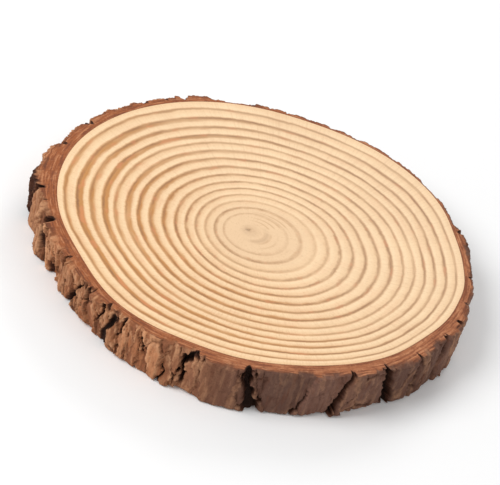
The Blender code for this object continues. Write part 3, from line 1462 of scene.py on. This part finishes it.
    def heart_marks(self, grain: Grain) -> Coats:
        """Fine arcs in the wood of the first years, a grey scar beside the pith, and fine rays.

        Args:
            grain: The grain.

        Returns:
            The share and the colour of each mark.
        """
        bench = grain.bench
        fine = bench.ease(bench.math("SINE", bench.times(grain.year, self.arcs_turn)), 0.1, 1.0)
        broken = bench.ease(bench.noise(grain.ray, 1.0, 1.0, (1.5, 1.5, 9.0)), 0.30, 0.60)
        where = bench.times(broken, bench.ease(grain.facing(self.weak_side), -0.2, 0.7))
        old = bench.ease(grain.year, 3.2, 4.6)
        young = bench.times(bench.ease(grain.year, 0.9, 1.6), bench.rest(old))
        arcs = bench.times(fine, where, young, self.arc_share)
        away = bench.math("ABSOLUTE", bench.math("SUBTRACT", grain.year, self.scar_year))
        scar = bench.rest(bench.ease(away, 0.0, 0.32))
        beside = bench.ease(grain.facing(self.scar_side), 0.0, 0.9)
        scar = bench.times(scar, beside, bench.span(broken, 0.4, 1.0), self.scar_share)
        rays = bench.noise(grain.ray, 1.0, 2.0, (95.0, 95.0, 4.0))
        rays = bench.span(bench.ease(rays, 0.40, 0.80), 0.0, self.ray_share)
        return ((arcs, self.late), (scar, self.line), (rays, self.late))

    def pith_marks(self, grain: Grain) -> Coats:
        """The brown dot of the pith, and a slightly greyer spot round it.

        Args:
            grain: The grain.

        Returns:
            The share and the colour of each mark.
        """
        bench = grain.bench
        ragged = bench.math("MULTIPLY_ADD", bench.noise(grain.place, 900.0, 2.0), 0.6, grain.year)
        halo = bench.times(bench.rest(bench.ease(ragged, 0.35, 1.5)), self.halo_share)
        dot = bench.times(bench.rest(bench.ease(ragged, 0.24, 0.62)), self.pith_share)
        return ((halo, self.line), (dot, self.pith))


@dataclass(frozen=True)
class PineBark:
    """Dry pine bark: red-brown plates that turn grey-brown towards one side, orange where it is
    cut.

    A share says how strongly a mark shows over the colour below it.
    """

    warm: Triple = shown(153, 97, 63)
    grey: Triple = shown(108, 77, 65)
    layer_light: Triple = shown(190, 132, 92)
    layer_dark: Triple = shown(104, 62, 43)
    # Colour of the painted highlight on the flakes' broken edges; the pale streaks use it too.
    lip_highlight: Triple = shown(202, 152, 114)
    # deep and bottom: fissures and cracks, partly their own dark colour, partly painted shade.
    deep: Triple = shown(70, 38, 24)
    bottom: Triple = shown(42, 24, 16)
    cut: Triple = shown(166, 104, 70)
    cut_fresh: Triple = shown(157, 91, 54)
    cut_line: Triple = shown(124, 71, 48)
    cut_light: Triple = shown(206, 146, 106)
    plate_swing: float = 0.20
    streak_share: float = 0.50
    outer_pit_share: float = 0.30
    cut_line_share: float = 0.85
    cut_light_share: float = 0.50
    crumb_share: float = 0.28
    cloud_share: float = 0.45
    cut_pit_share: float = 0.50
    skin_share: float = 0.60
    rim_share: float = 0.75
    gap_shade_share: float = 0.85
    roughness: float = 0.80
    gloss: float = 0.22
    streak_depth: float = 0.34 * MILLIMETRE
    grit_depth: float = 0.10 * MILLIMETRE

    def material(self, effects: SharedEffects) -> bpy.types.Material:
        """Make the material.

        Args:
            effects: The shared effects.

        Returns:
            The material.
        """
        material, bench, shader = principled("pine_bark")
        place = bench.own_place()
        grit = bench.placed(effects.grit, Place=place, Scale=1100.0).outputs
        outer = self.outer_face(bench, effects, place, grit["Pits"])
        sawn = self.sawn_face(bench, place, grit["Pits"])
        sunk = bench.named("sunk")
        coats = (
            (bench.named("cut"), sawn),
            # Fissures, cracks and the knob painted dark: partly their own colour, partly painted
            # shade and shadow.
            (bench.ease(sunk, 0.05, 0.45), self.deep),
            (bench.ease(sunk, 0.40, 0.95), self.bottom),
        )
        bench.feed(shader.inputs["Base Color"], bench.painted(outer, coats))
        rough = bench.math("MULTIPLY_ADD", grit["Height"], 0.10, self.roughness)
        bench.feed(shader.inputs["Roughness"], rough)
        shader.inputs["Specular IOR Level"].default_value = self.gloss
        streaks = bench.noise(place, 900.0, 4.0, (1.0, 1.0, 0.18))
        normal = bench.bump(streaks, self.streak_depth)
        bench.feed(shader.inputs["Normal"], bench.bump(grit["Height"], self.grit_depth, normal))
        return material

    def outer_face(
        self, bench: Bench, effects: SharedEffects, place: Socket, pits: Socket
    ) -> Socket:
        """The colour of the plates and flakes.

        Args:
            bench: Where the nodes go.
            effects: The shared effects.
            place: The object's own coordinates.
            pits: Where the grit's darkest pits are.

        Returns:
            The colour.
        """
        grey = bench.named("grey")
        layer = bench.named("layer")
        light = bench.times(bench.span(layer, 0.0, 0.75), bench.span(grey, 1.0, 0.34))
        low = bench.span(bench.times(layer, -1.0), 0.0, 0.60)
        dark = bench.times(low, bench.span(grey, 1.0, 0.55))
        layers = ((grey, self.grey), (light, self.layer_light), (dark, self.layer_dark))
        plate = bench.node("HueSaturation")
        bench.feed(plate.inputs["Color"], bench.painted(self.warm, layers))
        tone = bench.math("MULTIPLY_ADD", bench.named("tone"), self.plate_swing, 1.0)
        bench.feed(plate.inputs["Value"], tone)
        # Painted highlight on the flakes' broken edges, dimmer on the grey side.
        lip_highlight = bench.times(bench.named("lip_highlight"), bench.span(grey, 0.60, 0.28))
        streaks = bench.noise(place, 620.0, 3.0, (1.0, 1.0, 0.16))
        pale = bench.rest(bench.ease(streaks, 0.30, 0.46))
        marks = (
            (lip_highlight, self.lip_highlight),
            (bench.times(bench.ease(streaks, 0.52, 0.70), self.streak_share), self.layer_dark),
            (bench.times(pale, bench.span(grey, 0.45, 0.15)), self.lip_highlight),
        )
        colour = bench.painted(plate.outputs["Color"], marks)
        colour = effects.patched(bench, colour, scale=160.0, amount=0.50)
        return bench.blend(bench.times(pits, self.outer_pit_share), colour, self.deep)

    def sawn_face(self, bench: Bench, place: Socket, pits: Socket) -> Socket:
        """Colour of the sawn bark: thin layers, crumbs, and gaping cracks in painted shade.

        Args:
            bench: Where the nodes go.
            place: The object's own coordinates.
            pits: Where the grit's darkest pits are.

        Returns:
            The colour.
        """
        depth = bench.named("depth")
        layers = bench.named("layers")
        thin = self.streaks(bench, place, layers, 1.5)
        pale = bench.rest(bench.ease(thin, 0.36, 0.47))
        crumbs = bench.ease(bench.noise(place, 900.0, 3.0), 0.54, 0.72)
        clouds = bench.ease(bench.noise(place, 420.0, 3.0), 0.52, 0.70)
        skin = bench.rest(bench.ease(layers, 0.15, 0.65))
        rim = bench.math("MULTIPLY_ADD", bench.math("SUBTRACT", thin, 0.5), 0.9, depth)
        # Painted shade: the gaping cracks between the layers are painted dark.
        gap_shade = bench.ease(self.streaks(bench, place, layers, 0.9), 0.62, 0.70)
        coats = (
            (bench.named("grey"), self.cut),
            (bench.times(bench.ease(thin, 0.50, 0.62), self.cut_line_share), self.cut_line),
            (bench.times(pale, self.cut_light_share), self.cut_light),
            (bench.times(crumbs, self.crumb_share), self.cut_light),
            (bench.times(clouds, self.cloud_share), self.cut_line),
            (bench.times(pits, self.cut_pit_share), self.cut_line),
            (bench.times(skin, self.skin_share), self.cut_line),
            (bench.times(bench.ease(rim, 0.74, 1.0), self.rim_share), self.layer_dark),
            (bench.times(gap_shade, bench.ease(depth, 0.50, 0.80), self.gap_shade_share), self.deep),
        )
        return bench.painted(self.cut_fresh, coats)

    def streaks(self, bench: Bench, place: Socket, layers: Socket, fineness: float) -> Socket:
        """Streaks that run along the bark's layers.

        Args:
            bench: Where the nodes go.
            place: The object's own coordinates.
            layers: The distance from the wood in millimetres.
            fineness: How many streaks there are in a millimetre.

        Returns:
            The streaks, from 0 to 1.
        """
        lengthwise = bench.vector_math("MULTIPLY", place, (110.0, 110.0, 0.0)).outputs["Vector"]
        outward = bench.joined(0.0, 0.0, bench.times(layers, fineness))
        moved = bench.vector_math("ADD", lengthwise, outward)
        return bench.noise(moved.outputs["Vector"], 1.0, 3.0)


@dataclass(frozen=True)
class StudioPaper:
    """The plain pale floor."""

    colour: Triple = (0.93, 0.93, 0.93)
    roughness: float = 0.9
    gloss: float = 0.1

    def material(self, effects: SharedEffects) -> bpy.types.Material:
        """Make the material.

        Args:
            effects: The shared effects.

        Returns:
            The material.
        """
        material, bench, shader = principled("studio_paper")
        colour = effects.patched(bench, self.colour, scale=3.0, amount=0.01)
        bench.feed(shader.inputs["Base Color"], colour)
        shader.inputs["Roughness"].default_value = self.roughness
        shader.inputs["Specular IOR Level"].default_value = self.gloss
        return material


class Softbox(NamedTuple):
    """One soft light: its name, direction and height in degrees, distance, size and power."""

    name: str
    azimuth: float
    elevation: float
    distance: float
    size: float
    power: float


@dataclass
class Studio:
    """The floor, the soft lights and the camera, whose distances are in radii of the wood."""

    frame: SliceFrame
    floor_size: float = 3.0
    floor_gap: float = 0.02 * MILLIMETRE
    ambient: float = 0.50
    softboxes: tuple[Softbox, ...] = (
        Softbox("key_light", -68.0, 46.0, 1.1, 0.7, 7.8),
        Softbox("fill_light", 50.0, 40.0, 1.3, 0.9, 1.8),
        Softbox("back_light", 166.0, 29.0, 1.2, 0.55, 4.2),
    )
    camera_back: float = 6.22
    camera_up: float = 4.685
    camera_roll: float = 15.8
    fill_of_view: float = 0.9042
    sensor: float = 36.0
    clip: tuple[float, float] = (0.01, 20.0)

    def floor(self, effects: SharedEffects) -> bpy.types.Object:
        """Lay the floor under the slice.

        Args:
            effects: The shared effects.

        Returns:
            The floor.
        """
        bm = bmesh.new()
        bmesh.ops.create_grid(bm, x_segments=1, y_segments=1, size=self.floor_size)
        drop = Vector((0.0, 0.0, self.frame.low.z - self.floor_gap))
        bmesh.ops.translate(bm, verts=bm.verts, vec=drop)
        floor = finished(bm, "floor")
        floor.data.materials.append(StudioPaper().material(effects))
        return floor

    def light(self) -> None:
        """Set the soft lights and the pale surroundings."""
        world = bpy.data.worlds.new("studio")
        world.use_nodes = True
        surround = world.node_tree.nodes["Background"]
        surround.inputs["Color"].default_value = (1.0, 1.0, 1.0, 1.0)
        surround.inputs["Strength"].default_value = self.ambient
        bpy.context.scene.world = world
        for box in self.softboxes:
            lamp = bpy.data.lights.new(box.name, "AREA")
            lamp.shape = "DISK"
            lamp.size = box.size
            lamp.energy = box.power
            holder = bpy.data.objects.new(box.name, lamp)
            lift = math.radians(box.elevation)
            turn = Matrix.Rotation(math.radians(box.azimuth), 3, "Z")
            back = turn @ Vector((0.0, -math.cos(lift), math.sin(lift)))
            holder.location = self.frame.middle + box.distance * back
            holder.rotation_euler = (-back).to_track_quat("-Z", "Y").to_euler()
            bpy.context.scene.collection.objects.link(holder)

    def camera(self) -> bpy.types.Object:
        """Set the camera, rolled so that the slice seems to lean.

        Returns:
            The camera.
        """
        back = Vector((0.0, -self.camera_back, self.camera_up)) * self.frame.outline.radius
        forward = -back.normalized()
        upright = (Vector((0.0, 0.0, 1.0)) - forward.z * forward).normalized()
        right = forward.cross(upright)
        roll = math.radians(self.camera_roll)
        image_up = math.cos(roll) * upright - math.sin(roll) * right
        image_right = math.cos(roll) * right + math.sin(roll) * upright
        data = bpy.data.cameras.new("camera")
        data.sensor_width = self.sensor
        width = self.frame.high.x - self.frame.low.x
        data.lens = self.fill_of_view * self.sensor * back.length / width
        data.clip_start, data.clip_end = self.clip
        camera = bpy.data.objects.new("camera", data)
        turn = Matrix((image_right, image_up, -forward)).transposed()
        camera.matrix_world = Matrix.Translation(self.frame.middle + back) @ turn.to_4x4()
        bpy.context.scene.collection.objects.link(camera)
        bpy.context.scene.camera = camera
        return camera


def corners(box: tuple[Vector, Vector]) -> list[list[float]]:
    """A box as plain lists of numbers."""
    return [list(corner) for corner in box]


def main() -> None:
    """Build and dress the slice, then its studio."""
    logging.basicConfig(level=logging.INFO, format="%(name)s: %(message)s")
    # Unseeded, the noise that frays the flakes would differ from run to run.
    noise.seed_set(NOISE_SEED)
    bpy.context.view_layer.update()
    slice_frame = SliceFrame(*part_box(NODE))
    effects = SharedEffects()
    wood = SawnDisc(slice_frame).build()
    bark = BarkRing(slice_frame).build()
    slice_frame.settle([wood, bark], guide=bark)
    wood.data.materials.append(SawnPine().material(effects))
    bark.data.materials.append(PineBark().material(effects))
    for piece, slot in ((wood, Slot.WOOD), (bark, Slot.BARK)):
        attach(piece, BODY)
        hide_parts(NODE)
        log.info("%s: %d faces, slot %s", piece.name, len(piece.data.polygons), slot.value)
    studio = Studio(slice_frame)
    studio.floor(effects)
    studio.light()
    studio.camera()
    bpy.context.scene.view_settings.view_transform = "Standard"


if __name__ == "__main__":
    main()
